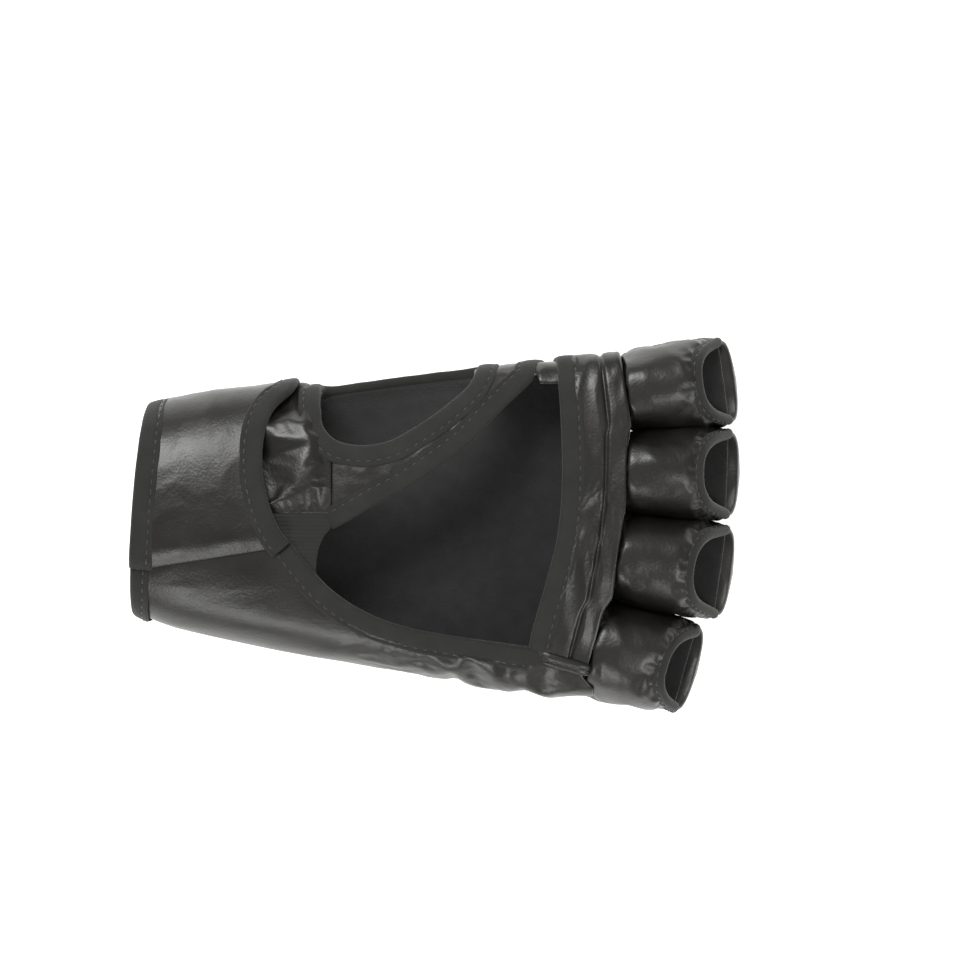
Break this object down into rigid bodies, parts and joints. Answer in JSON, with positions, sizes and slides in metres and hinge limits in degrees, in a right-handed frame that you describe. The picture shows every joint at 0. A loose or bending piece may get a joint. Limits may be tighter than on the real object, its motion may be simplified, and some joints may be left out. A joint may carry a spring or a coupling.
{
  "type": "open-palm grappling glove",
  "caption": "Left-hand open-palm grappling glove with padded back, four padded finger loops, thumb opening and wrap-around wrist strap, lying on its back.",
  "frame": {"origin": "middle of the flat of the knuckle padding, on which the glove rests", "axes": "+X from the wrist to the fingertips, +Y to the thumb side, +Z out of the palm"},
  "size_m": [0.2033, 0.1251, 0.0529],
  "materials": {
    "leather": "semi-gloss pebbled synthetic leather",
    "binding_tape": "matte folded tape",
    "lining": "matte knit",
    "foam": "closed-cell foam",
    "elastic": "ribbed elastic",
    "loop_patch": "looped pile",
    "tail_hook_patch": "hooks"
  },
  "bodies": {
    "glove": {"back_foam": "foam", "back_lining": "lining", "back_shell": "leather", "finger_root_band": "leather", "knuckle_foam": "foam", "loop_patch": "loop_patch", "palm_bar": "leather", "palm_bar_binding": "binding_tape", "palm_bar_lining": "lining", "palm_edge_binding": "binding_tape", "radial_lining": "lining", "radial_panel": "leather", "thumb_hole_binding": "binding_tape", "thumb_strap": "leather", "thumb_strap_lining": "lining", "ulnar_edge_binding": "binding_tape", "ulnar_lining": "lining", "ulnar_panel": "leather", "wrist_binding": "binding_tape", "wrist_gusset": "elastic"},
    "strap": {"strap_cover": "leather", "strap_lining": "lining", "strap_palm_binding": "binding_tape", "strap_wrist_binding": "binding_tape"},
    "tail": {"tail_binding": "binding_tape", "tail_cover": "leather", "tail_hook_patch": "tail_hook_patch"},
    "index": {"index_loop": "leather", "index_loop_binding": "binding_tape", "index_pad_cover": "leather", "index_pad_foam": "foam", "index_pad_lining": "lining"},
    "middle": {"middle_loop": "leather", "middle_loop_binding": "binding_tape", "middle_pad_cover": "leather", "middle_pad_foam": "foam", "middle_pad_lining": "lining"},
    "ring": {"ring_loop": "leather", "ring_loop_binding": "binding_tape", "ring_pad_cover": "leather", "ring_pad_foam": "foam", "ring_pad_lining": "lining"},
    "little": {"little_loop": "leather", "little_loop_binding": "binding_tape", "little_pad_cover": "leather", "little_pad_foam": "foam", "little_pad_lining": "lining"}
  },
  "joints": [
    {"name": "strap_opening", "type": "hinge", "parent": "glove", "child": "strap", "pos_m": [-0.10098, -0.0102, 0.05184], "axis": [0.9876, 0.1549, 0.0257], "range_deg": [0, 45]},
    {"name": "tail_peel", "type": "hinge", "parent": "strap", "child": "tail", "pos_m": [-0.099, 0.0407, 0.0137], "axis": [0.9896, 0.1438, 0], "range_deg": [0, 150]},
    {"name": "index_curl", "type": "hinge", "parent": "glove", "child": "index", "pos_m": [0.03597, 0.04352, 0.0417], "axis": [0.1392, -0.9903, 0], "range_deg": [0, 60]},
    {"name": "middle_curl", "type": "hinge", "parent": "glove", "child": "middle", "pos_m": [0.03597, 0.01869, 0.04357], "axis": [-0.0349, -0.9994, 0], "range_deg": [0, 60]},
    {"name": "ring_curl", "type": "hinge", "parent": "glove", "child": "ring", "pos_m": [0.033, -0.01086, 0.04388], "axis": [-0.1392, -0.9903, 0], "range_deg": [0, 60]},
    {"name": "little_curl", "type": "hinge", "parent": "glove", "child": "little", "pos_m": [0.02492, -0.03949, 0.04316], "axis": [-0.2756, -0.9613, 0], "range_deg": [0, 60]}
  ],
  "couplings": [
    {"joint": "strap_opening", "follows": "tail_peel", "ratio": 0.3}
  ]
}
